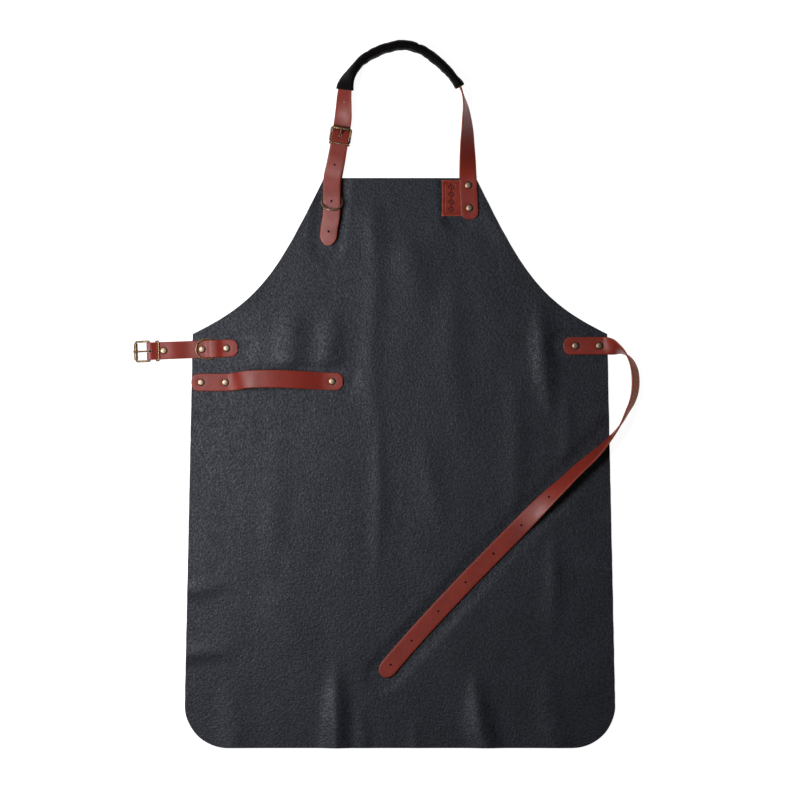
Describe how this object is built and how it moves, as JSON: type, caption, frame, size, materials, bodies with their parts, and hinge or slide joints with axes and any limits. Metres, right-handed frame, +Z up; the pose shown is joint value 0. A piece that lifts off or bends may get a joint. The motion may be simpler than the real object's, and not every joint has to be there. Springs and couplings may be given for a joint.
{
  "type": "leather smock apron",
  "caption": "Black leather bib apron lying flat, with russet straps, roller buckles, keepers, D-rings, a padded neck sleeve, a towel loop and a label patch.",
  "frame": {"origin": "centre of the panel's underside, on the surface the apron lies on", "axes": "+Y towards the neck, +X to the right as the front is seen, +Z up out of the front face"},
  "size_m": [0.7064, 0.9855, 0.0321],
  "materials": {
    "panel_leather": "soft grained charcoal hide",
    "strap_leather": "smooth russet bridle leather",
    "sleeve_leather": "soft black leather over thin padding",
    "patch_leather": "embossed oxblood leather",
    "antique_brass": "antiqued and lightly rubbed"
  },
  "bodies": {
    "apron": {"apron_panel": "panel_leather", "label_patch": "patch_leather", "neck_strap": "strap_leather", "neck_tab_strap": "strap_leather", "waist_tab_strap": "strap_leather", "towel_loop": "strap_leather", "neck_strap_rivet_lower_back": "antique_brass", "neck_strap_rivet_lower_cap": "antique_brass", "neck_strap_rivet_upper_back": "antique_brass", "neck_strap_rivet_upper_cap": "antique_brass", "neck_tab_rivet_far_back": "antique_brass", "neck_tab_rivet_far_cap": "antique_brass", "neck_tab_rivet_near_back": "antique_brass", "neck_tab_rivet_near_cap": "antique_brass", "towel_loop_rivet_far_back": "antique_brass", "towel_loop_rivet_far_cap": "antique_brass", "towel_loop_rivet_inner_back": "antique_brass", "towel_loop_rivet_inner_cap": "antique_brass", "towel_loop_rivet_outer_back": "antique_brass", "towel_loop_rivet_outer_cap": "antique_brass", "waist_strap_rivet_inner_back": "antique_brass", "waist_strap_rivet_inner_cap": "antique_brass", "waist_strap_rivet_outer_back": "antique_brass", "waist_strap_rivet_outer_cap": "antique_brass", "waist_tab_rivet_far_back": "antique_brass", "waist_tab_rivet_far_cap": "antique_brass", "waist_tab_rivet_near_back": "antique_brass", "waist_tab_rivet_near_cap": "antique_brass"},
    "neck_loop": {"neck_sleeve": "sleeve_leather", "neck_tab_fold_rivet_cap": "antique_brass", "neck_tab_fold_rivet_back": "antique_brass"},
    "neck_keeper": {"neck_tab_keeper": "antique_brass"},
    "neck_buckle": {"neck_tab_buckle_frame": "antique_brass"},
    "neck_tongue": {"neck_tab_buckle_tongue": "antique_brass"},
    "neck_roller": {"neck_tab_buckle_roller": "antique_brass"},
    "neck_ring": {"neck_d_ring": "antique_brass"},
    "waist_tab_end": {"waist_tab_fold_rivet_cap": "antique_brass", "waist_tab_fold_rivet_back": "antique_brass"},
    "waist_keeper": {"waist_tab_keeper": "antique_brass"},
    "waist_buckle": {"waist_tab_buckle_frame": "antique_brass"},
    "waist_tongue": {"waist_tab_buckle_tongue": "antique_brass"},
    "waist_roller": {"waist_tab_buckle_roller": "antique_brass"},
    "waist_ring": {"waist_d_ring": "antique_brass"},
    "waist_tail": {"waist_strap": "strap_leather"}
  },
  "joints": [
    {"name": "neck_fold", "type": "hinge", "parent": "apron", "child": "neck_loop", "pos_m": [0, 0.3975, 0.003], "axis": [1, 0, 0], "range_deg": [0, 120], "deforming": ["neck_strap", "neck_tab_strap"]},
    {"name": "neck_keeper_slide", "type": "slide", "parent": "neck_loop", "child": "neck_keeper", "axis": [-0.1564, -0.9877, 0], "range_m": [0, 0.012]},
    {"name": "neck_buckle_pivot", "type": "hinge", "parent": "neck_loop", "child": "neck_buckle", "pos_m": [-0.0843, 0.4474, 0.0082], "axis": [0.9877, -0.1564, 0], "range_deg": [0, 5]},
    {"name": "neck_tongue_pivot", "type": "hinge", "parent": "neck_buckle", "child": "neck_tongue", "pos_m": [-0.0843, 0.4474, 0.0082], "axis": [0.9877, -0.1564, 0], "range_deg": [0, 6]},
    {"name": "neck_roller_spin", "type": "hinge", "parent": "neck_buckle", "child": "neck_roller", "pos_m": [-0.08134, 0.46609, 0.01292], "axis": [0.9877, -0.1564, 0], "continuous": true},
    {"name": "neck_ring_pivot", "type": "hinge", "parent": "apron", "child": "neck_ring", "pos_m": [-0.0946, 0.3705, 0.0028], "axis": [-0.9998, 0.0175, 0], "range_deg": [0, 30]},
    {"name": "waist_tab_fold", "type": "hinge", "parent": "apron", "child": "waist_tab_end", "pos_m": [-0.2885, 0.158, 0.003], "axis": [0, 1, 0], "range_deg": [0, 120], "deforming": ["waist_tab_strap"]},
    {"name": "waist_keeper_slide", "type": "slide", "parent": "waist_tab_end", "child": "waist_keeper", "axis": [-0.9993, -0.0384, 0], "range_m": [0, 0.003]},
    {"name": "waist_buckle_pivot", "type": "hinge", "parent": "waist_tab_end", "child": "waist_buckle", "pos_m": [-0.3491, 0.1559, 0.0064], "axis": [-0.0384, 0.9993, 0], "range_deg": [0, 40]},
    {"name": "waist_tongue_pivot", "type": "hinge", "parent": "waist_buckle", "child": "waist_tongue", "pos_m": [-0.3491, 0.1559, 0.0064], "axis": [-0.0384, 0.9993, 0], "range_deg": [0, 55]},
    {"name": "waist_roller_spin", "type": "hinge", "parent": "waist_buckle", "child": "waist_roller", "pos_m": [-0.36827, 0.15516, 0.00288], "axis": [-0.0384, 0.9993, 0], "continuous": true},
    {"name": "waist_ring_pivot", "type": "hinge", "parent": "apron", "child": "waist_ring", "pos_m": [-0.26017, 0.15932, 0.0028], "axis": [-0.0384, 0.9993, 0], "range_deg": [0, 150]},
    {"name": "waist_strap_swing", "type": "hinge", "parent": "apron", "child": "waist_tail", "pos_m": [0.328, 0.114, 0.012], "axis": [0, 0, 1], "range_deg": [0, 110], "deforming": ["waist_strap"]}
  ]
}
